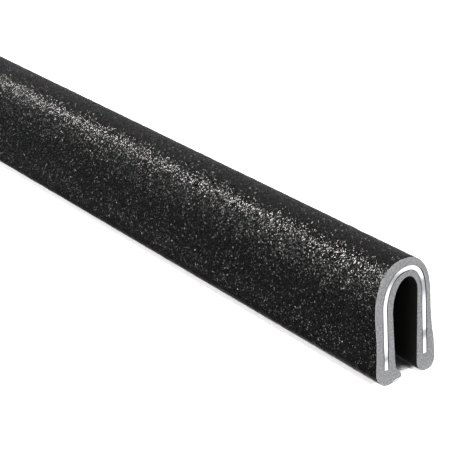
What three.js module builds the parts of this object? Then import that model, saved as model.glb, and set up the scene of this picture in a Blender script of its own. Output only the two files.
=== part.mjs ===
// Edge trim seal: a U-shaped moulding that pushes over the bare edge of a sheet and grips it.
// A black PVC cover surrounds a thin aluminium strip bent to the same U. One leg ends in a plain
// round foot. The other ends in a foot with a lip that points into the slot and holds the sheet.
// Both ends are cut square, so the strip shows there as a bright band inside the cover.
//
// Millimetres. The section is drawn with x across the trim and y up from the soles: the lipped
// leg is on the -x side, the plain leg on the +x side, and x = 0 is the middle of the slot.
// The finished trim stands on its soles, with its length along X, its width along Y and Z up.

import * as THREE from 'three';

// Overall sizes
const length = 304.8;
const overallHeight = 15.9;

// Rounded back. It leans: the lipped side slopes in early, the plain side stands up and turns late.
// The handles are shares of the arch's rise and run, and shape the skin and the strip alike.
const archRise = 5.7;
const skinCrownOffset = -0.23;
const stripCrownOffset = 0.33;
const lippedRiseHandle = 0.12;
const lippedRunHandle = 0.89;
const plainRiseHandle = 0.84;
const plainRunHandle = 0.48;

// Slot that takes the sheet
const slotWidthAboveLip = 3.38;
const wallLean = 1.8;
const straightWallFoot = 2.9;
const slotCrownOffset = 0.47;
const slotRiseOnLippedSide = 4.3;
const slotRiseOnPlainSide = 2.17;

// Aluminium strip
const stripThickness = 0.5;
const stripClearance = 0.02;
const stripEndInLippedLeg = 2.22;
const stripEndInPlainLeg = 2.47;

// PVC on each side of the strip, in the legs at shoulder height and over the crown
const coverOutsideLippedLeg = 1.2;
const coverInsideLippedLeg = 0.99;
const coverOutsidePlainLeg = 0.94;
const coverInsidePlainLeg = 0.64;
const coverOutsideCrown = 1.09;
const coverInsideCrown = 0.91;

// Lipped leg: a slight waist, a fuller foot and a small flat to stand on
const waistHeight = 5.2;
const waistDepth = 0.12;
const lippedFootBulge = 0.03;
const lippedFootHeight = 1.9;
const lippedSoleInset = 1.9;
const soleFlat = 0.3;

// Lip
const lipReach = 0.94;
const lipTipRadius = 0.33;
const lipTipHeight = 0.7;
const lipRootHeight = 1.5;
const lipTopAngle = 25;
const lipUndersideAngle = -110;
const lipUndersideRun = 0.48;
const soleEaseRun = 0.42;

// Plain leg: straight to the flare, then a round foot
const flareHeight = 8.9;
const flareDepth = 0.5;
const plainFootHeight = 1.5;

// Smoothness of the curves, in steps for each one
const archSteps = 20;
const legSteps = 8;
const footSteps = 10;
const lipSteps = 8;
const joinTolerance = 1e-4;

// Levels and walls that follow from the sizes above
const shoulderHeight = overallHeight - archRise;
const stripCrown = overallHeight - coverOutsideCrown - stripThickness / 2;
const slotCrown = stripCrown - stripThickness / 2 - coverInsideCrown;
const lippedStripX = -slotWallX(shoulderHeight) - coverInsideLippedLeg - stripThickness / 2;
const plainStripX = slotWallX(shoulderHeight) + coverInsidePlainLeg + stripThickness / 2;
const lippedSkinX = lippedStripX - stripThickness / 2 - coverOutsideLippedLeg;
const plainSkinX = plainStripX + stripThickness / 2 + coverOutsidePlainLeg;

// Distance from the middle of the slot to its straight walls, which close in towards the feet.
function slotWallX(height) {
  const rise = height - straightWallFoot;
  return slotWidthAboveLip / 2 + rise * Math.tan(THREE.MathUtils.degToRad(wallLean));
}

// Points of an ellipse's arc between two angles in degrees, the short way from one to the other.
function arc(centreX, centreY, radiusX, radiusY, fromAngle, toAngle, steps) {
  const from = THREE.MathUtils.degToRad(fromAngle);
  const to = THREE.MathUtils.degToRad(toAngle);
  const clockwise = toAngle < fromAngle;
  const curve = new THREE.EllipseCurve(centreX, centreY, radiusX, radiusY, from, to, clockwise);
  return curve.getPoints(steps);
}

// A smooth bend between two places, leaving and arriving by way of the two handles.
function bendCurve(from, fromHandle, toHandle, to) {
  const corners = [from, fromHandle, toHandle, to].map(([x, y]) => new THREE.Vector2(x, y));
  return new THREE.CubicBezierCurve(...corners);
}

function bend(from, fromHandle, toHandle, to, steps) {
  return bendCurve(from, fromHandle, toHandle, to).getPoints(steps);
}

// One side of an arch, from its upright shoulder to its level crown.
function archSide(shoulderX, crown, riseHandle, runHandle) {
  const rise = crown.y - shoulderHeight;
  const run = shoulderX - crown.x;
  return bendCurve([shoulderX, shoulderHeight], [shoulderX, shoulderHeight + rise * riseHandle],
    [crown.x + run * runHandle, crown.y], [crown.x, crown.y]);
}

const lippedArchSide = (x, crown) => archSide(x, crown, lippedRiseHandle, lippedRunHandle);
const plainArchSide = (x, crown) => archSide(x, crown, plainRiseHandle, plainRunHandle);

// One closed outline from stretches laid end to end, with no point twice.
function joinStretches(...stretches) {
  const outline = [];
  for (const point of stretches.flat()) {
    const previous = outline.at(-1);
    if (previous === undefined || point.distanceTo(previous) > joinTolerance) outline.push(point);
  }
  if (outline[0].distanceTo(outline.at(-1)) <= joinTolerance) outline.pop();
  return outline;
}

// Outside of the lipped leg, from its sole up to the shoulder.
function lippedLegOutside() {
  const footX = lippedSkinX - lippedFootBulge;
  const waistX = lippedSkinX + waistDepth;
  const footRadius = lippedSoleInset - soleFlat / 2;
  const lowerBlend = (waistHeight + lippedFootHeight) / 2;
  const upperBlend = (waistHeight + shoulderHeight) / 2;
  return [
    ...arc(footX + footRadius, lippedFootHeight, footRadius, lippedFootHeight, 270, 180, footSteps),
    ...bend([footX, lippedFootHeight], [footX, lowerBlend], [waistX, lowerBlend],
      [waistX, waistHeight], legSteps),
    ...bend([waistX, waistHeight], [waistX, upperBlend], [lippedSkinX, upperBlend],
      [lippedSkinX, shoulderHeight], legSteps),
  ];
}

// The rounded back of the trim, from the lipped shoulder over the crown to the plain shoulder.
function skinArch() {
  const crown = new THREE.Vector2(skinCrownOffset, overallHeight);
  return [
    ...lippedArchSide(lippedSkinX, crown).getPoints(archSteps),
    ...plainArchSide(plainSkinX, crown).getPoints(archSteps).reverse(),
  ];
}

// The plain leg, from its shoulder down to the flare, round the foot and up to the slot wall.
function plainLeg() {
  const footOuterX = plainSkinX + flareDepth;
  const footInnerX = slotWallX(plainFootHeight);
  const footRadius = (footOuterX - footInnerX - soleFlat) / 2;
  const flareBlend = (flareHeight + plainFootHeight) / 2;
  return [
    ...bend([plainSkinX, flareHeight], [plainSkinX, flareBlend], [footOuterX, flareBlend],
      [footOuterX, plainFootHeight], legSteps),
    ...arc(footOuterX - footRadius, plainFootHeight, footRadius, plainFootHeight, 0, -90, footSteps),
    ...arc(footInnerX + footRadius, plainFootHeight, footRadius, plainFootHeight, 270, 180, footSteps),
  ];
}

// The slot's rounded top. The straight walls run down from its two ends.
function slotArch() {
  const plainSpring = slotCrown - slotRiseOnPlainSide;
  const lippedSpring = slotCrown - slotRiseOnLippedSide;
  const plainRadius = slotWallX(plainSpring) - slotCrownOffset;
  const lippedRadius = slotWallX(lippedSpring) + slotCrownOffset;
  return [
    ...arc(slotCrownOffset, plainSpring, plainRadius, slotRiseOnPlainSide, 0, 90, archSteps),
    ...arc(slotCrownOffset, lippedSpring, lippedRadius, slotRiseOnLippedSide, 90, 180, archSteps),
  ];
}

// The lip, from the foot of the slot wall round its tip to the sole.
function lip() {
  const wallX = -slotWallX(straightWallFoot);
  const tipX = wallX + lipReach - lipTipRadius;
  const tip = arc(tipX, lipTipHeight, lipTipRadius, lipTipRadius, lipTopAngle, lipUndersideAngle,
    lipSteps);
  const tipStart = tip.at(0);
  const tipEnd = tip.at(-1);
  const slope = THREE.MathUtils.degToRad(lipUndersideAngle);
  const soleEndX = lippedSkinX - lippedFootBulge + lippedSoleInset + soleFlat / 2;
  const underside = [
    tipEnd.x + lipUndersideRun * Math.sin(slope),
    tipEnd.y - lipUndersideRun * Math.cos(slope),
  ];
  return [
    ...bend([wallX, straightWallFoot], [wallX, lipRootHeight], [tipX, lipRootHeight],
      [tipStart.x, tipStart.y], lipSteps),
    ...tip,
    ...bend([tipEnd.x, tipEnd.y], underside, [soleEndX + soleEaseRun, 0], [soleEndX, 0], lipSteps),
  ];
}

// Outline of a strip that follows the U, with its faces this far from the strip's middle line
// and its two ends this far past the real strip's ends.
function stripOutline(halfThickness, endAllowance) {
  const stationsAlong = (curve) => Array.from({ length: archSteps + 1 }, (_, step) => {
    const tangent = curve.getTangent(step / archSteps);
    return { middle: curve.getPoint(step / archSteps), normal: new THREE.Vector2(-tangent.y, tangent.x) };
  });
  const crown = new THREE.Vector2(stripCrownOffset, stripCrown);
  const lippedStations = stationsAlong(lippedArchSide(lippedStripX, crown));
  const plainStations = stationsAlong(plainArchSide(plainStripX, crown)).reverse();
  plainStations.forEach(({ normal }) => normal.negate());
  const stations = [
    { middle: new THREE.Vector2(lippedStripX, stripEndInLippedLeg - endAllowance),
      normal: new THREE.Vector2(-1, 0) },
    ...lippedStations,
    ...plainStations,
    { middle: new THREE.Vector2(plainStripX, stripEndInPlainLeg - endAllowance),
      normal: new THREE.Vector2(1, 0) },
  ];
  const face = (distance) => stations.map(
    ({ middle, normal }) => middle.clone().addScaledVector(normal, distance));
  return joinStretches(face(halfThickness), face(-halfThickness).reverse());
}

function coverOutline() {
  return joinStretches(lippedLegOutside(), skinArch(), plainLeg(), slotArch(), lip());
}

// One length of a section, as a named piece.
function extrude(name, shape, material) {
  const geometry = new THREE.ExtrudeGeometry(shape, { depth: length, bevelEnabled: false });
  const piece = new THREE.Mesh(geometry, material);
  piece.name = name;
  return piece;
}

function makeCover() {
  const section = new THREE.Shape(coverOutline());
  const channel = stripOutline(stripThickness / 2 + stripClearance, stripClearance);
  section.holes.push(new THREE.Path(channel.reverse()));
  const blackPvc = new THREE.MeshStandardMaterial({ color: 0x242224, roughness: 0.6, metalness: 0 });
  return extrude('pvc_cover', section, blackPvc);
}

function makeStrip() {
  const section = new THREE.Shape(stripOutline(stripThickness / 2, 0));
  const aluminium = new THREE.MeshStandardMaterial({ color: 0xdcdee0, roughness: 0.3, metalness: 1 });
  return extrude('metal_core', section, aluminium);
}

// The section's x, y and depth become the trim's Y, Z and X, and its box is centred on the origin.
const trim = new THREE.Group();
const width = new THREE.Box2().setFromPoints(coverOutline());
trim.add(makeCover(), makeStrip());
trim.quaternion.set(0.5, 0.5, 0.5, 0.5);
trim.position.set(-length / 2, -(width.min.x + width.max.x) / 2, 0);

export default trim;
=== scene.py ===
# %% [markdown]
# # Edge trim seal
# An edge trim seal is a U-shaped length that is pushed over the bare edge of a sheet and grips
# it. Its cover is black PVC with an embossed grain, extruded round a thin aluminium strip that
# is bent to the same U. Both ends are sawn square, so the strip shows there as a bright band.
#
# The CAD model has the section, and this script gives it a finish: the grain on the outside,
# the grey saw cut, the bright edge of the strip, then a plain studio and a camera.

import math

import bpy
import numpy as np
from mathutils import Matrix, Vector
from mathutils.geometry import tessellate_polygon


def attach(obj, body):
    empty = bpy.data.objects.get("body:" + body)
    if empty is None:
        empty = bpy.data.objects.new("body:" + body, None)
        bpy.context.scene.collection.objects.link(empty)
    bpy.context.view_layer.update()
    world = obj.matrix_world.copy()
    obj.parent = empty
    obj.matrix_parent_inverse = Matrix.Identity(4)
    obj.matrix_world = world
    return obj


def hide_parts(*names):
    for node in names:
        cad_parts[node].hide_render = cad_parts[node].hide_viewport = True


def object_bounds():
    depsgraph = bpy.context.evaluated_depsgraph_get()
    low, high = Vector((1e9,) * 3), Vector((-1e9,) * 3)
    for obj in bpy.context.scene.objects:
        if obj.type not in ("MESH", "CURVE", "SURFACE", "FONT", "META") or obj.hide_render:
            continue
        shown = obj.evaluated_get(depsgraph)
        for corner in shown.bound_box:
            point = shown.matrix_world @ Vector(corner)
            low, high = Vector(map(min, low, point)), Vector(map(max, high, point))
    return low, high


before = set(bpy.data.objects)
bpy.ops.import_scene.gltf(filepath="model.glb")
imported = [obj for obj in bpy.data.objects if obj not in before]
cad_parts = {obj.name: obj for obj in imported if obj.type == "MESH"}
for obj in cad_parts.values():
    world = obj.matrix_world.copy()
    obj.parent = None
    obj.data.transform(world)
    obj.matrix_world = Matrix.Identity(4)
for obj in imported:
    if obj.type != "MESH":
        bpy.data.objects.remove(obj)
cad_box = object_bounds()
MM = 0.001
print("CAD box in mm:", [[round(c / MM, 3) for c in corner] for corner in cad_box])

# %% [markdown]
# ## Camera
# The trim is seen from above and from its cut end, with the end face much nearer than the rest.
# A camera could be turned by eye until the picture looks right. Here its numbers come from a
# fit instead: the section's edges were drawn through a pinhole camera, and its place, direction
# and lens were changed until they met the edges in the picture to within half a pixel.
#
# The lean is a roll of the camera about its own line of sight, which keeps the trim in the
# middle of the lens with no shift.

# %% Camera
SENSOR = 36.0
LENS = 133.5
CAMERA_PLACE = Vector((288.51, -113.3, 99.35)) * MM
LOOKS_DOWN = math.radians(23.818)
LOOKS_ACROSS = math.radians(33.08)
LEANS_OVER = math.radians(-3.755)


def camera_axes():
    """Right, up and forward of the camera, with its lean."""
    level = Vector((-math.cos(LOOKS_ACROSS), math.sin(LOOKS_ACROSS), 0.0))
    side = Vector((math.sin(LOOKS_ACROSS), math.cos(LOOKS_ACROSS), 0.0))
    upright = Vector((0.0, 0.0, 1.0))
    forward = level * math.cos(LOOKS_DOWN) - upright * math.sin(LOOKS_DOWN)
    rise = level * math.sin(LOOKS_DOWN) + upright * math.cos(LOOKS_DOWN)
    right = side * math.cos(LEANS_OVER) + rise * math.sin(LEANS_OVER)
    up = rise * math.cos(LEANS_OVER) - side * math.sin(LEANS_OVER)
    return right, up, forward


def place_camera():
    right, up, forward = camera_axes()
    data = bpy.data.cameras.new("camera")
    data.sensor_width = SENSOR
    data.lens = LENS
    data.clip_start = 1 * MM
    data.clip_end = 20.0
    camera = bpy.data.objects.new("camera", data)
    turn = Matrix((right, up, -forward)).transposed()
    camera.matrix_world = Matrix.Translation(CAMERA_PLACE) @ turn.to_4x4()
    bpy.context.scene.collection.objects.link(camera)
    bpy.context.scene.camera = camera
    return camera


camera = place_camera()
print("camera in mm:", [round(c / MM, 1) for c in camera.location], "lens", LENS)

# %% [markdown]
# ## Colours and nodes
# Colours are written as sRGB hex, the way a paint program shows them, and Blender's shaders want
# linear light, so one function turns the first into the second.
#
# A material is a small network of nodes. One function adds a node, sets what is given by name,
# and links its inputs, so each material below reads as a short list of its parts.

# %% Colours
def linear(hex_colour):
    """Linear RGBA of an sRGB hex colour such as 'c0c0c0'."""
    channels = [int(hex_colour[i : i + 2], 16) / 255 for i in (0, 2, 4)]
    light = [c / 12.92 if c <= 0.04045 else ((c + 0.055) / 1.055) ** 2.4 for c in channels]
    return (*light, 1.0)


print("mid grey 808080 as light:", round(linear("808080")[0], 3))

# %% Nodes and materials
def add_node(material, kind, settings=None, links=None):
    """Adds a node. Settings are its own properties or, where it has none of that name, inputs."""
    node = material.node_tree.nodes.new("ShaderNode" + kind)
    for name, value in (settings or {}).items():
        if hasattr(node, name):
            setattr(node, name, value)
        else:
            node.inputs[name].default_value = value
    for name, source in (links or {}).items():
        material.node_tree.links.new(source, node.inputs[name])
    return node


def new_material(name):
    """An empty material, and where its pattern starts: the place on the piece, in metres."""
    material = bpy.data.materials.new(name)
    material.use_nodes = True
    material.node_tree.nodes.clear()
    place = add_node(material, "TexCoord").outputs["Object"]
    return material, place


def finish_material(material, settings, links):
    """Adds the shader that the pattern feeds, and the material's output."""
    shader = add_node(material, "BsdfPrincipled", settings, links)
    add_node(material, "OutputMaterial", links={"Surface": shader.outputs["BSDF"]})
    return material


print("tools for materials:", [tool.__name__ for tool in (add_node, new_material, finish_material)])

# %% [markdown]
# ## Floor and room
# The floor is a pale matt sheet, lit until it is white. A black object on such a floor can come
# out grey, since its gloss mirrors the floor. A photographer would keep that mirror image away
# with black flags. Here one setting does it: the floor lights the trim but isn't mirrored in
# it. It is only as large as the lights reach, with the white room behind it.
#
# The feet are round, and steep light leaves the floor dark in the wedge under each of them, so
# at the cut ends they would look square. A photographer would slip a strip of glowing paper
# under the end. Here the floor itself glows a little there, over the first millimetre or two.
# The glow is a circle that is squashed along the trim, so it stays out of the slot.

# %% Glow under the two ends
FLOOR_SIZE = 2.4
GLOW = 0.7
GLOW_SQUASH = 4.0
GLOW_FULL, GLOW_GONE = 5.5 * MM, 8.0 * MM


def glow_under_ends(material, place):
    """Light of the floor in a small ellipse round the foot of each cut end."""
    mirrored = add_node(material, "VectorMath", {"operation": "ABSOLUTE"}, {"Vector": place})
    squashed = add_node(material, "Mapping", {
        "Scale": (GLOW_SQUASH, 1.0, 1.0),
        "Location": (-GLOW_SQUASH * cad_box[1].x, 0.0, 0.0),
    }, {"Vector": mirrored.outputs["Vector"]})
    away = add_node(material, "VectorMath", {"operation": "LENGTH"}, {
        "Vector": squashed.outputs["Vector"],
    })
    glow = add_node(material, "MapRange", {
        "From Min": GLOW_FULL,
        "From Max": GLOW_GONE,
        "To Min": GLOW,
        "To Max": 0.0,
    }, {"Value": away.outputs["Value"]})
    return glow.outputs["Result"]


print("glow in mm:", GLOW_FULL / MM, "across,", GLOW_FULL / GLOW_SQUASH / MM, "along")


# %% Floor
FIBRE_SPACING = MM / 0.9
PAPER_SHADES = [(0.0, linear("f8f8f8")), (1.0, linear("ffffff"))]


def colours_along(owner, value, stops):
    """A colour that follows a value from 0 to 1 through stops of (value, colour)."""
    node = add_node(owner, "ValToRGB", {}, {"Fac": value})
    ramp = node.color_ramp.elements
    while len(ramp) < len(stops):
        ramp.new(0.5)
    for stop, (at, colour) in zip(ramp, stops):
        stop.position = at
        stop.color = colour
    return node.outputs["Color"]


def make_floor():
    half = FLOOR_SIZE / 2
    corners = [(-half, -half, 0), (half, -half, 0), (half, half, 0), (-half, half, 0)]
    mesh = bpy.data.meshes.new("floor")
    mesh.from_pydata(corners, [], [(0, 1, 2, 3)])
    floor = bpy.data.objects.new("floor", mesh)
    bpy.context.scene.collection.objects.link(floor)
    floor.visible_glossy = False
    material, place = new_material("matt_paper")
    fibre = add_node(material, "TexNoise", {"Scale": 1 / FIBRE_SPACING, "Detail": 3.0}, {
        "Vector": place,
    })
    finish_material(material, {
        "Roughness": 0.95,
        "Specular IOR Level": 0.1,
        "Emission Color": linear("ffffff"),
    }, {
        "Base Color": colours_along(material, fibre.outputs["Fac"], PAPER_SHADES),
        "Emission Strength": glow_under_ends(material, place),
    })
    mesh.materials.append(material)
    return floor


make_floor()
print("floor side in m:", FLOOR_SIZE)

# %% [markdown]
# The room gives a little light from all round, by height. It is nearly black where the upright
# legs mirror it, which keeps the PVC black. Three pale patches are added, each in the direction
# that one part of the trim mirrors to the camera: the saw cut, the rounded back, and the edge
# of the strip, which is metal and shows hardly anything but what it mirrors.

# %% Light of the room
ROOM_LEVELS = [(-1.0, 0.3), (-0.8, 0.1), (-0.5, 0.02), (0.0, 0.02), (0.3, 0.1), (1.0, 0.1)]
COOL = 1.02
BACKDROP = "fcfcfc"


def grey(light, blue=1.0):
    return (light, light, light * blue, 1.0)


# Each patch: its direction, the cosines where it starts and is full, and its light.
ROOM_PATCHES = {
    "saw_cut": ((0.0, 0.8, -0.6), 0.35, 0.75, linear("f0f1f4")),
    "rounded_back": ((-0.77, 0.5, 0.4), 0.3, 0.9, grey(0.3, COOL)),
    "strip_edge": ((0.69, 0.55, -0.46), 0.6, 0.9, grey(1.7)),
}
print("room light by height:", ROOM_LEVELS)


# %% Room
def mix_colours(owner, share, colour, other):
    """Goes from a colour to the other one as the share goes from 0 to 1."""
    # This node has sockets for every kind of data. Those for colours are 6 and 7 in, and 2 out.
    node = add_node(owner, "Mix", {"data_type": "RGBA"})
    owner.node_tree.links.new(share, node.inputs[0])
    owner.node_tree.links.new(colour, node.inputs[6])
    if isinstance(other, tuple):
        node.inputs[7].default_value = other
    else:
        owner.node_tree.links.new(other, node.inputs[7])
    return node.outputs[2]


def towards(owner, way, direction, starts, full):
    """A share that grows from 0 to 1 as a ray turns towards one direction."""
    along = add_node(owner, "VectorMath", {"operation": "DOT_PRODUCT"}, {"Vector": way})
    along.inputs[1].default_value = direction
    share = add_node(owner, "MapRange", {"From Min": starts, "From Max": full}, {
        "Value": along.outputs["Value"],
    })
    return share.outputs["Result"]


def make_room():
    world = bpy.data.worlds.new("studio")
    world.use_nodes = True
    world.node_tree.nodes.clear()
    way = add_node(world, "TexCoord").outputs["Generated"]
    height = add_node(world, "SeparateXYZ", {}, {"Vector": way})
    share = add_node(world, "MapRange", {"From Min": -1.0}, {"Value": height.outputs["Z"]})
    stops = [((at + 1) / 2, grey(light, COOL)) for at, light in ROOM_LEVELS]
    lit = colours_along(world, share.outputs["Result"], stops)
    for direction, starts, full, colour in ROOM_PATCHES.values():
        patch = towards(world, way, direction, starts, full)
        lit = mix_colours(world, patch, lit, colour)
    seen = add_node(world, "LightPath").outputs["Is Camera Ray"]
    colour = mix_colours(world, seen, lit, linear(BACKDROP))
    light = add_node(world, "Background", {}, {"Color": colour})
    add_node(world, "OutputWorld", {}, {"Surface": light.outputs["Background"]})
    bpy.context.scene.world = world


make_room()
print("pale patches:", list(ROOM_PATCHES))

# %% [markdown]
# ## Softboxes
# Each lamp has one job. The glint softbox stands beyond the far end, where the shoulder of the
# trim mirrors it, and makes the band of glints. The low one, near the floor, adds the scattered
# glints below that band. The front and far ones light the floor from both sides, so no shadow
# is left beside the trim. The overhead one hangs over the cut end: it whitens the floor up to
# the mouth of the slot, and is steep enough to leave the slot itself dark.
#
# The glints are about a pixel wide. Blender's denoiser takes such points for noise once it has
# smoothed its guide pictures, so that smoothing is switched off, and the glints stay crisp.

# %% Softboxes
MIDDLE_OF_VIEW = (0.1, 0.0, 0.008)


def make_softbox(name, place, size, power, tint="ffffff"):
    """A softbox that is turned to the middle of the view. Place and size are in metres."""
    data = bpy.data.lights.new(name, "AREA")
    data.color = linear(tint)[:3]
    data.shape = "RECTANGLE"
    data.size, data.size_y = size
    data.energy = power
    box = bpy.data.objects.new(name, data)
    box.location = place
    aim = Vector(MIDDLE_OF_VIEW) - Vector(place)
    box.rotation_euler = aim.to_track_quat("-Z", "Y").to_euler()
    bpy.context.scene.collection.objects.link(box)
    return box


make_softbox("glint_softbox", (-0.74, -0.55, 0.55), (0.24, 0.24), 13.8, "fffcfa")
make_softbox("low_softbox", (-0.25, -0.9, 0.12), (0.36, 0.16), 5.0)
make_softbox("front_softbox", (0.4, -0.85, 0.55), (0.5, 0.5), 6.0)
make_softbox("far_softbox", (0.6, 0.8, 0.3), (0.5, 0.5), 4.0)
make_softbox("overhead_softbox", (0.26, -0.08, 1.1), (0.25, 0.25), 19.0)
bpy.context.scene.view_settings.view_transform = "Standard"
bpy.context.scene.cycles.denoising_prefilter = "NONE"

# %% [markdown]
# ## Section
# The cover is one extrusion, so its shape is a single outline drawn out along X. That outline
# needn't be written again: it is read from the end face of the CAD cover. The end face's own
# border is every edge that only one of its triangles has, and those edges chain into two loops,
# the outline and the channel that holds the strip.

# %% Section of the CAD cover
END_SLACK = 0.01 * MM
KEY_DIGITS = 4


def end_loops(node):
    """The loops round a node's +X end face, each an array of (y, z) in metres."""
    mesh = node.data
    mesh.calc_loop_triangles()
    places = np.zeros(len(mesh.vertices) * 3)
    mesh.vertices.foreach_get("co", places)
    places = places.reshape(-1, 3)
    end = places[:, 0].max()
    keys = [tuple(np.round(p[1:] / MM, KEY_DIGITS)) for p in places]
    at_end = places[:, 0] > end - END_SLACK
    # A dict keeps its order, which a set doesn't, so the loops come out the same each time.
    used = {}
    for triangle in mesh.loop_triangles:
        a, b, c = triangle.vertices
        if at_end[a] and at_end[b] and at_end[c]:
            for one, other in ((a, b), (b, c), (c, a)):
                used[(keys[one], keys[other])] = True
    border = {one: other for one, other in used if (other, one) not in used}
    loops = []
    while border:
        start = here = next(iter(border))
        loop = []
        while here in border:
            loop.append(here)
            here = border.pop(here)
        loops.append(np.array(loop) * MM)
        assert here == start, "an end loop isn't closed"
    return sorted(loops, key=len, reverse=True)


outline, channel = end_loops(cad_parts["pvc_cover"])
half_length = cad_box[1].x
print("outline points:", len(outline), "channel points:", len(channel))

# %% [markdown]
# The outline has two kinds of surface. The outside, from one sole up over the back to the other
# sole, carries the grain. The slot side, with the lip, is smooth. The middles of the two flat
# soles are where one turns into the other.

# %% Outside and slot side
SOLE_LEVEL = 0.001 * MM


def split_outline(loop):
    """Outside and slot side as two open runs of points that share their end points."""
    low = loop[:, 1] < SOLE_LEVEL
    lipped = [i for i in np.flatnonzero(low) if loop[i, 0] < 0]
    plain = [i for i in np.flatnonzero(low) if loop[i, 0] > 0]
    outer_lipped = min(lipped, key=lambda i: loop[i, 0])
    outer_plain = max(plain, key=lambda i: loop[i, 0])
    loop = np.roll(loop, -outer_lipped, axis=0)
    turn = (outer_plain - outer_lipped) % len(loop)
    first, second = loop[: turn + 1], np.vstack([loop[turn:], loop[:1]])
    if first[:, 1].max() > second[:, 1].max():
        return first, second[::-1]
    return second[::-1], first


outside, slot_side = split_outline(outline)


def run_of(points):
    """Distance along a run of points, at each of them."""
    return np.concatenate([[0.0], np.hypot(*np.diff(points, axis=0).T).cumsum()])


print("outside in mm:", round(run_of(outside)[-1] / MM, 2))
print("slot side in mm:", round(run_of(slot_side)[-1] / MM, 2))

# %% [markdown]
# ## Grain
# The outside is embossed: the hot cover runs under a textured roller that presses small pebbles
# into it, about 0.4 mm across and a few hundredths high. They could all be bump, which only
# tilts the light. But the real ones also roughen the outline, so the ones that a mesh can carry
# are real here. The outside is drawn as a grid with a point about every 0.35 mm, and each point
# is sunk by its own small depth. The material adds a little more height to them as bump.
#
# The grid starts as a smooth curve through the outline's points, since the CAD curves are short
# straight lines that would glint as flats. Depths only go inwards, so the trim keeps its size,
# and they fade out at the soles, which stand on the floor.

# %% Smooth outside
COLUMNS = 105
STATIONS = 896
CURVE_STEPS = 12


def smooth_run(points, count):
    """A smooth curve through a run of points, cut into count equal steps."""
    ends = 2 * points[0] - points[1], 2 * points[-1] - points[-2]
    p = np.vstack([ends[0], points, ends[1]])
    t = np.linspace(0, 1, CURVE_STEPS, endpoint=False)[:, None]
    pieces = []
    for a, b, c, d in zip(p[:-3], p[1:-2], p[2:-1], p[3:]):
        span = np.linalg.norm(c - b)
        leave = (c - a) / np.linalg.norm(c - a) * span
        arrive = (d - b) / np.linalg.norm(d - b) * span
        pieces.append(
            b * (2 * t**3 - 3 * t**2 + 1)
            + leave * (t**3 - 2 * t**2 + t)
            + c * (3 * t**2 - 2 * t**3)
            + arrive * (t**3 - t**2)
        )
    curve = np.vstack([*pieces, points[-1:]])
    along = run_of(curve)
    steps = np.linspace(0, along[-1], count + 1)
    return np.column_stack([np.interp(steps, along, curve[:, i]) for i in (0, 1)])


def inward(points):
    """Unit directions into the material along a run that has the material on its right."""
    way = np.gradient(points, axis=0)
    way /= np.linalg.norm(way, axis=1)[:, None]
    return np.column_stack([way[:, 1], -way[:, 0]])


skin = smooth_run(outside, COLUMNS)
skin_inward = inward(skin)
step_across = run_of(skin)[-1] / COLUMNS
step_along = 2 * half_length / STATIONS
print("grid in mm:", round(step_across / MM, 3), "by", round(step_along / MM, 3))

# %% Pebbles
PEBBLE_DEPTH = 0.045 * MM
OWN_SHARE = 0.6


def softened(heights):
    """Each point shares some of its height with its neighbours, along and then across."""
    for axis in (0, 1):
        before, after = np.roll(heights, 1, axis), np.roll(heights, -1, axis)
        heights = heights * OWN_SHARE + (before + after) * ((1 - OWN_SHARE) / 2)
    return heights


def spread_even(heights):
    """The same pattern with heights from 0 to 1, as many of each."""
    order = heights.ravel().argsort().argsort()
    return (order / (heights.size - 1)).reshape(heights.shape)


print("pebbles up to, in mm:", PEBBLE_DEPTH / MM)

# %% Swells
SWELL_DEPTH = 0.02 * MM
SWELL_GRID = 6


def eased(share):
    """A share from 0 to 1 that starts and ends gently."""
    return share * share * (3 - 2 * share)


def swells(chance, shape):
    """Broad low swells: chance heights a few grid steps apart, with an eased way between them."""
    coarse = chance.random((shape[0] // SWELL_GRID + 3, shape[1] // SWELL_GRID + 3))
    rows = np.arange(shape[0]) / SWELL_GRID
    cells = np.arange(shape[1]) / SWELL_GRID
    r, c = rows.astype(int), cells.astype(int)
    down = eased(rows - r)[:, None]
    over = eased(cells - c)
    near = coarse[r][:, c] * (1 - over) + coarse[r][:, c + 1] * over
    far = coarse[r + 1][:, c] * (1 - over) + coarse[r + 1][:, c + 1] * over
    return near * (1 - down) + far * down


print("swells up to, in mm:", SWELL_DEPTH / MM)

# %% Depth of every point
GRAIN_SEED = 7
SOLE_FADE = 0.5 * MM


def grain_depths():
    """Depth of every point of the outside, station by column."""
    chance = np.random.default_rng(GRAIN_SEED)
    shape = (STATIONS + 1, COLUMNS + 1)
    pebbles = spread_even(softened(chance.random(shape)))
    fade = eased(np.clip(skin[:, 1] / SOLE_FADE, 0, 1))
    return (PEBBLE_DEPTH * (1 - pebbles) + SWELL_DEPTH * swells(chance, shape)) * fade


depths = grain_depths()
print("grain depth in mm, mean:", round(depths.mean() / MM, 4))
print("grain depth in mm, most:", round(depths.max() / MM, 4))

# %% [markdown]
# ## Cover mesh
# The outside needs 897 points along the trim, but the smooth slot side needs hardly any. Long
# faces could share one side with hundreds of short ones, but such faces shade badly. So the rows
# from each sole into the slot halve their points one after another, from 896 steps to 14.
#
# At each end the saw cut lies a little behind the strip, which is harder and was left standing
# proud. A narrow bevel runs round the cut, where the saw's burr was rubbed off. Beside the strip
# the PVC has pulled away a little, always on the same side, and leaves a thin dark gap.

# %% Stations and levels
CUT_SET_BACK = 0.08 * MM
BEVEL = 0.07 * MM
cut_x = half_length - CUT_SET_BACK
HALVINGS = 6


def slot_levels(count):
    """Steps along the trim for each inner column of the slot side: many at its two edges."""
    edge = range(1, count + 1)
    return [STATIONS >> min(a, b, HALVINGS) for a, b in zip(edge, edge[::-1])]


def stations(steps):
    return np.linspace(-(cut_x - BEVEL), cut_x - BEVEL, steps + 1)


slot_inner = slot_side[::-1][1:-1]
levels = slot_levels(len(slot_inner))
print("steps of the slot columns:", levels[:8], "...")

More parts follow.
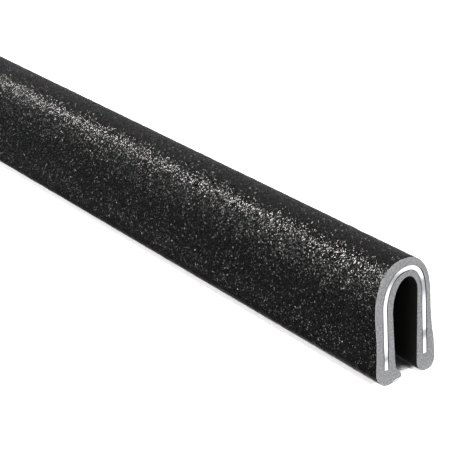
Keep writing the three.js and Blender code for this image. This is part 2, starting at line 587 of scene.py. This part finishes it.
# %% A shape as it grows
class Shape:
    """Points and faces as they are collected, with each face's finish and place on the map."""

    def __init__(self):
        self.points = []
        self.count = 0
        self.faces = []
        self.finishes = []
        self.maps = []

    def all_points(self):
        return np.vstack(self.points)

    def add_points(self, points):
        first = self.count
        self.points.append(np.asarray(points, float))
        self.count += len(points)
        return np.arange(first, self.count)

    def add_face(self, corners, finish, on_map):
        self.faces.append(corners)
        self.finishes.append(finish)
        self.maps.append(on_map)


cover_shape = Shape()
print("the cover starts with", cover_shape.count, "points")

# %% Points, column by column
def column_points(place, steps, sunk=None, direction=None):
    xs = stations(steps)
    yz = np.repeat(place[None, :], len(xs), axis=0)
    if sunk is not None:
        yz = yz + sunk[:, None] * direction
    return np.column_stack([xs, yz])


columns = []
for i, place in enumerate(skin):
    points = column_points(place, STATIONS, depths[:, i], skin_inward[i])
    columns.append(cover_shape.add_points(points))
for place, steps in zip(slot_inner, levels):
    columns.append(cover_shape.add_points(column_points(place, steps)))
outline_run = run_of(np.vstack([skin, slot_inner, skin[:1]]))
print("columns:", len(columns), "points:", cover_shape.count)

# %% [markdown]
# ## Map for the finish
# A material can be worked out from the place in space, and it is here. But another program needs
# it as a picture, and for that every face needs its own place on a flat map. A program could
# unwrap the mesh by itself, but the trim is easy: the outline laid flat, cut in the middle of
# its length, and the two halves one above the other. The two ends go beside them.

# %% Map
MAP_SIDE = 164.0 * MM
MAP_GAP = 1.2 * MM
PITCH = outline_run[-1] + MAP_GAP
END_PITCH = 20 * MM


def on_sides(x, along):
    """Place on the map of a point of the long sides, in two rows, one for each half."""
    row = 0 if x.mean() < 0 else 1
    start = half_length if row == 0 else 0.0
    return np.column_stack([x + start + MAP_GAP, along + row * PITCH + MAP_GAP]) / MAP_SIDE


def on_end(points, side):
    """Place on the map of a point of an end face."""
    y = points[:, 1] - cad_box[0].y
    low = MAP_GAP + (0 if side < 0 else END_PITCH)
    return np.column_stack([y + half_length + 2 * MAP_GAP, points[:, 2] + low]) / MAP_SIDE


print("sides fill across:", round((half_length + MAP_GAP) / MAP_SIDE, 3))
print("sides fill up:", round(2 * PITCH / MAP_SIDE, 3))

# %% Long sides
GRAINED, SMOOTH, SAWN = 0, 1, 2


def add_strip(left, right, along_left, along_right, finish):
    """Faces between two columns. One may have half as many steps as the other."""
    all_points = cover_shape.all_points()
    ratio = (len(left) - 1) / (len(right) - 1)
    steps = min(len(left), len(right)) - 1
    for i in range(steps):
        if ratio == 1:
            corners = [left[i], left[i + 1], right[i + 1], right[i]]
            alongs = [along_left] * 2 + [along_right] * 2
        elif ratio == 2:
            corners = [left[2 * i], left[2 * i + 1], left[2 * i + 2], right[i + 1], right[i]]
            alongs = [along_left] * 3 + [along_right] * 2
        else:
            corners = [left[i], left[i + 1], right[2 * i + 2], right[2 * i + 1], right[2 * i]]
            alongs = [along_left] * 2 + [along_right] * 3
        x = all_points[corners, 0]
        cover_shape.add_face(corners, finish, on_sides(x, np.array(alongs)))


closed = columns + columns[:1]
for i in range(len(columns)):
    finish = GRAINED if i < COLUMNS else SMOOTH
    add_strip(closed[i], closed[i + 1], outline_run[i], outline_run[i + 1], finish)
print("faces on the long sides:", len(cover_shape.faces))

# %% [markdown]
# ## Ends and channel
# Each end is a flat face with a hole, which the channel for the strip runs into. A face with a
# hole can't be one polygon, so it is filled with triangles between the two loops. The channel is
# closed off by them too, so the cover stays one sealed mesh, as a solid must be.

# %% Mouth of the channel
GAP_WIDTH = 0.18 * MM
GAP_DEPTH = 0.4 * MM
GAP_SIDE = np.array([0.85, -0.53])
GAP_STARTS, GAP_EASE = 0.1, 0.5


def turn_of(loop):
    """Which way a closed loop runs: 1 for anticlockwise, -1 for clockwise."""
    y, z = loop.T
    return np.sign(np.sum(y * np.roll(z, -1) - np.roll(y, -1) * z))


def loop_outward(loop):
    """Unit directions out of a closed loop."""
    way = np.roll(loop, -1, axis=0) - np.roll(loop, 1, axis=0)
    way /= np.linalg.norm(way, axis=1)[:, None]
    return np.column_stack([way[:, 1], -way[:, 0]]) * turn_of(loop)


def channel_mouth():
    """The channel's loop where it meets the saw cut, with the gap on one side of the strip."""
    out = loop_outward(channel)
    share = np.clip((out @ GAP_SIDE - GAP_STARTS) / GAP_EASE, 0, 1)
    return channel + out * (share * GAP_WIDTH)[:, None]


print("gap beside the strip in mm:", GAP_WIDTH / MM, "wide,", GAP_DEPTH / MM, "deep")

# %% Faces of an end
def at_x(loop, x):
    return np.column_stack([np.full(len(loop), x), loop])


def add_ring(first, second, finish, side):
    """Faces round an end, between two closed loops with the same number of points."""
    all_points = cover_shape.all_points()
    for i in range(len(first)):
        j = (i + 1) % len(first)
        corners = [first[i], first[j], second[j], second[i]]
        if side < 0:
            corners = corners[::-1]
        cover_shape.add_face(corners, finish, on_end(all_points[corners], side))


def fill_end(outer, inner, side):
    """Triangles between the rim of the cut and the mouth of the channel."""
    all_points = cover_shape.all_points()
    loops = [[Vector(all_points[i]) for i in ring] for ring in (outer, inner)]
    numbers = [*outer, *inner]
    for triangle in tessellate_polygon(loops):
        corners = [numbers[i] for i in triangle]
        a, b, c = all_points[corners]
        if np.cross(b - a, c - a)[0] * side < 0:
            corners = corners[::-1]
        cover_shape.add_face(corners, SAWN, on_end(all_points[corners], side))


print("faces before the ends:", len(cover_shape.faces))

# %% Both ends
def add_end(side):
    last = [column[-1 if side > 0 else 0] for column in columns]
    all_points = cover_shape.all_points()
    edge = all_points[last][:, 1:]
    rim = edge - loop_outward(edge) * BEVEL
    rim_numbers = cover_shape.add_points(at_x(rim, side * cut_x))
    mouth = cover_shape.add_points(at_x(channel_mouth(), side * cut_x))
    deep = cover_shape.add_points(at_x(channel, side * (cut_x - GAP_DEPTH)))
    add_ring(last, rim_numbers, SAWN, -side * outline_turn)
    fill_end(rim_numbers, mouth, side)
    add_ring(mouth, deep, SMOOTH, side * channel_turn)
    return deep


outline_turn = -turn_of(np.vstack([skin, slot_inner]))
channel_turn = turn_of(channel)
front, back = add_end(1), add_end(-1)
add_ring(front, back, SMOOTH, channel_turn)
print("points:", cover_shape.count, "faces:", len(cover_shape.faces))

# %% [markdown]
# ## One mesh
# The lists become a Blender mesh. Its edges are sharp only where the saw cut turns from the
# outside, so the light breaks there and rolls softly over the pebbles.

# %% One mesh
SHARP_ANGLE = math.radians(42)


def make_cover():
    mesh = bpy.data.meshes.new("pvc_cover_grained")
    points = cover_shape.all_points()
    faces = [[int(i) for i in corners] for corners in cover_shape.faces]
    mesh.from_pydata(points.tolist(), [], faces)
    mesh.polygons.foreach_set("material_index", np.array(cover_shape.finishes, np.int32))
    flat_map = mesh.uv_layers.new(name="OFBake")
    flat_map.data.foreach_set("uv", np.vstack(cover_shape.maps).ravel().astype(np.float32))
    mesh.update()
    mesh.shade_smooth()
    mesh.set_sharp_from_angle(angle=SHARP_ANGLE)
    cover = bpy.data.objects.new("pvc_cover_grained", mesh)
    bpy.context.scene.collection.objects.link(cover)
    return cover


cover = make_cover()
triangles = sum(len(p.vertices) - 2 for p in cover.data.polygons)
print("cover triangles:", triangles)

# %% [markdown]
# ## Extruded black PVC with an embossed grain
# Soft black PVC is a plastic with carbon black all through it, so it takes in nearly all light
# that gets under the surface, and what is left to see is its gloss. The embossed grain breaks
# that gloss into glints: each tiny facet mirrors a lamp only where it happens to face half way
# between the lamp and the eye. That gives many bright points on the shoulder, where most facets
# do, and fewer further down.
#
# A noise bump would give soft waves. Facets need a pattern with flat cells, so a Voronoi texture
# splits the surface into cells, and each cell's own colour, less half, is a vector that points
# anywhere. Added to the normal, it tilts the whole cell. How far goes by a second chance value.
# The real facets are a few hundredths of a millimetre wide. These are 0.1 mm, about a pixel
# near the cut end, since finer ones would blend to grey. They fade out towards the soles, where
# the roller doesn't reach.

# %% Embossed PVC values
PVC_BLACK = "090808"
PVC_EMBOSSED_ROUGHNESS = 0.2
PVC_EMBOSSED_GLOSS = 0.25
PEBBLE_PITCH = 0.5 * MM
PEBBLE_BUMP = 0.03 * MM
FACET_SIZE = 0.105 * MM
FACET_TILT = 1.3
FACET_EVENNESS = 0.6
FACETS_START, FACETS_FULL = 0.3 * MM, 2.0 * MM
NOISE_SCALE_OF_PITCH = 1.5
print("facets in mm:", FACET_SIZE / MM, "pebbles in mm:", PEBBLE_PITCH / MM)


# %% Facets
MIDDLE_COLOUR = (0.5, 0.5, 0.5)


def facet_strength(material, place, facets):
    """How far each facet tilts: its own chance value, less towards the soles."""
    chance = add_node(material, "TexWhiteNoise", {}, {"Vector": facets.outputs["Position"]})
    amount = add_node(material, "Math", {"operation": "POWER"}, {0: chance.outputs["Value"]})
    amount.inputs[1].default_value = FACET_EVENNESS
    parts = add_node(material, "SeparateXYZ", {}, {"Vector": place})
    most = add_node(material, "MapRange", {
        "From Min": FACETS_START,
        "From Max": FACETS_FULL,
        "To Max": FACET_TILT,
    }, {"Value": parts.outputs["Z"]})
    strength = add_node(material, "Math", {"operation": "MULTIPLY"}, {
        0: amount.outputs["Value"],
        1: most.outputs["Result"],
    })
    return strength.outputs["Value"]


def faceted_normal(material, place, normal):
    """The normal, tilted facet by facet."""
    facets = add_node(material, "TexVoronoi", {"Scale": 1 / FACET_SIZE}, {"Vector": place})
    tilt = add_node(material, "VectorMath", {"operation": "SUBTRACT"}, {
        "Vector": facets.outputs["Color"],
    })
    tilt.inputs[1].default_value = MIDDLE_COLOUR
    tilted = add_node(material, "VectorMath", {"operation": "SCALE"}, {
        "Vector": tilt.outputs["Vector"],
        "Scale": facet_strength(material, place, facets),
    })
    turned = add_node(material, "VectorMath", {"operation": "ADD"}, {
        0: normal,
        1: tilted.outputs["Vector"],
    })
    facing = add_node(material, "VectorMath", {"operation": "NORMALIZE"}, {
        "Vector": turned.outputs["Vector"],
    })
    return facing.outputs["Vector"]


# %% Embossed PVC
def embossed_pvc():
    material, place = new_material("extruded_black_pvc_embossed")
    pebbles = add_node(material, "TexNoise", {
        "Scale": NOISE_SCALE_OF_PITCH / PEBBLE_PITCH,
        "Detail": 0.0,
    }, {"Vector": place})
    bump = add_node(material, "Bump", {"Strength": 1.0, "Distance": PEBBLE_BUMP}, {
        "Height": pebbles.outputs["Fac"],
    })
    return finish_material(material, {
        "Base Color": linear(PVC_BLACK),
        "Roughness": PVC_EMBOSSED_ROUGHNESS,
        "Specular IOR Level": PVC_EMBOSSED_GLOSS,
    }, {"Normal": faceted_normal(material, place, bump.outputs["Normal"])})


cover.data.materials.append(embossed_pvc())
print("outside:", cover.data.materials[0].name)

# %% [markdown]
# ## Smooth PVC of the slot
# The slot side comes straight from the steel die and isn't embossed. The die leaves faint lines
# along the trim, so its noise is stretched: fifty times finer across than along. It also has
# less gloss than the outside, which the polished roller has pressed.

# %% Smooth PVC
PVC_SLOT_BLACK = "171615"
PVC_SMOOTH_ROUGHNESS = 0.6
PVC_SMOOTH_GLOSS = 0.12
DIE_LINE_WIDTH = MM / NOISE_SCALE_OF_PITCH
DIE_LINE_LENGTH = 50 * DIE_LINE_WIDTH
DIE_LINE_BUMP = 0.02 * MM


def smooth_pvc():
    material, place = new_material("extruded_black_pvc_smooth")
    finer = 1 / DIE_LINE_WIDTH
    drag = add_node(material, "Mapping", {"Scale": (1 / DIE_LINE_LENGTH, finer, finer)}, {
        "Vector": place,
    })
    lines = add_node(material, "TexNoise", {"Scale": 1.0, "Detail": 2.0}, {
        "Vector": drag.outputs["Vector"],
    })
    bump = add_node(material, "Bump", {"Strength": 0.6, "Distance": DIE_LINE_BUMP}, {
        "Height": lines.outputs["Fac"],
    })
    return finish_material(material, {
        "Base Color": linear(PVC_SLOT_BLACK),
        "Roughness": PVC_SMOOTH_ROUGHNESS,
        "Specular IOR Level": PVC_SMOOTH_GLOSS,
    }, {"Normal": bump.outputs["Normal"]})


cover.data.materials.append(smooth_pvc())
print("slot side:", cover.data.materials[1].name)

# %% [markdown]
# ## Sawn PVC
# Where the saw went through, the PVC isn't black but a flat mid grey: the blade tears it into
# crumbs a tenth or two of a millimetre wide, and light scatters among them before it can get
# deep enough to be taken in. So the cut has a grey of its own, mottled and bumped at that size.

# %% Sawn PVC
PVC_SAWN_ROUGHNESS = 0.75
PVC_SAWN_GLOSS = 0.3
CRUMB_SIZE = 0.16 * MM
CRUMB_BUMP = 0.04 * MM
NOISE_SCALE_OF_CRUMB = 0.625
CRUMB_SHADES = [(0.3, linear("5f5f60")), (0.7, linear("878789"))]


def sawn_pvc():
    material, place = new_material("sawn_black_pvc")
    crumbs = add_node(material, "TexNoise", {
        "Scale": NOISE_SCALE_OF_CRUMB / CRUMB_SIZE,
        "Detail": 2.0,
    }, {"Vector": place})
    tint = colours_along(material, crumbs.outputs["Fac"], CRUMB_SHADES)
    bump = add_node(material, "Bump", {"Strength": 0.5, "Distance": CRUMB_BUMP}, {
        "Height": crumbs.outputs["Fac"],
    })
    return finish_material(material, {
        "Roughness": PVC_SAWN_ROUGHNESS,
        "Specular IOR Level": PVC_SAWN_GLOSS,
    }, {"Base Color": tint, "Normal": bump.outputs["Normal"]})


cover.data.materials.append(sawn_pvc())
print("cut ends:", cover.data.materials[2].name)

# %% The cover takes the place of the CAD cover
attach(cover, "root")
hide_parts("pvc_cover")
print("cover stands for:", "pvc_cover")

# %% [markdown]
# ## Sheared aluminium edge
# The strip is soft aluminium, cut off with the PVC by the same saw. The blade smears most of its
# edge bright and only scrapes the rest, which stays duller. Noise could spread those dull
# stretches by chance. Here their heights on each leg are listed, since there are only four of
# them, and a ramp by height turns the list into colours. A metal's colour is what it mirrors
# times this tint, so the bright stretches mirror the pale patch of the room as white.

# %% Sheared aluminium values
SMEARED, SCRAPED = "f6f6f6", "97999c"
SHEARED_ROUGHNESS = 0.35
SCRATCH_WIDTH = 0.1 * MM
SCRATCH_BUMP = 0.01 * MM
RAMP_HEIGHT = 16 * MM
# Heights in mm, each with 0 where the edge is smeared bright and 1 where it is scraped.
LIPPED_LEG_SCRAPES = [
    (2.8, 0), (3.7, 1), (5.0, 0),
    (12.0, 0), (13.6, 1), (14.1, 1), (14.7, 0),
]
PLAIN_LEG_SCRAPES = [
    (4.0, 0), (4.9, 1), (5.4, 1), (6.0, 0),
    (9.2, 0), (11.0, 1), (12.2, 1), (13.1, 0),
]
print("dull stretches up to, in mm:", LIPPED_LEG_SCRAPES[-1][0], PLAIN_LEG_SCRAPES[-1][0])


# %% Sheared aluminium strip
def scrapes_along(material, share, scrapes):
    """Bright and dull metal by height, from a list of scrapes."""
    faces = [linear(SMEARED), linear(SCRAPED)]
    stops = [(height * MM / RAMP_HEIGHT, faces[scraped]) for height, scraped in scrapes]
    return colours_along(material, share, stops)


def sheared_aluminium():
    material, place = new_material("sheared_aluminium")
    parts = add_node(material, "SeparateXYZ", {}, {"Vector": place})
    height = add_node(material, "MapRange", {"From Max": RAMP_HEIGHT}, {
        "Value": parts.outputs["Z"],
    })
    on_plain_leg = add_node(material, "Math", {"operation": "GREATER_THAN"}, {
        0: parts.outputs["Y"],
    })
    on_plain_leg.inputs[1].default_value = 0.0
    share = height.outputs["Result"]
    lipped = scrapes_along(material, share, LIPPED_LEG_SCRAPES)
    plain = scrapes_along(material, share, PLAIN_LEG_SCRAPES)
    tint = mix_colours(material, on_plain_leg.outputs["Value"], lipped, plain)
    scratches = add_node(material, "TexNoise", {"Scale": 1 / SCRATCH_WIDTH, "Detail": 1.0}, {
        "Vector": place,
    })
    bump = add_node(material, "Bump", {"Strength": 0.4, "Distance": SCRATCH_BUMP}, {
        "Height": scratches.outputs["Fac"],
    })
    return finish_material(material, {
        "Metallic": 1.0,
        "Roughness": SHEARED_ROUGHNESS,
    }, {"Base Color": tint, "Normal": bump.outputs["Normal"]})


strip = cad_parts["metal_core"]
for slot in strip.material_slots:
    slot.material = sheared_aluminium()
print("strip finish:", strip.material_slots[0].material.name)
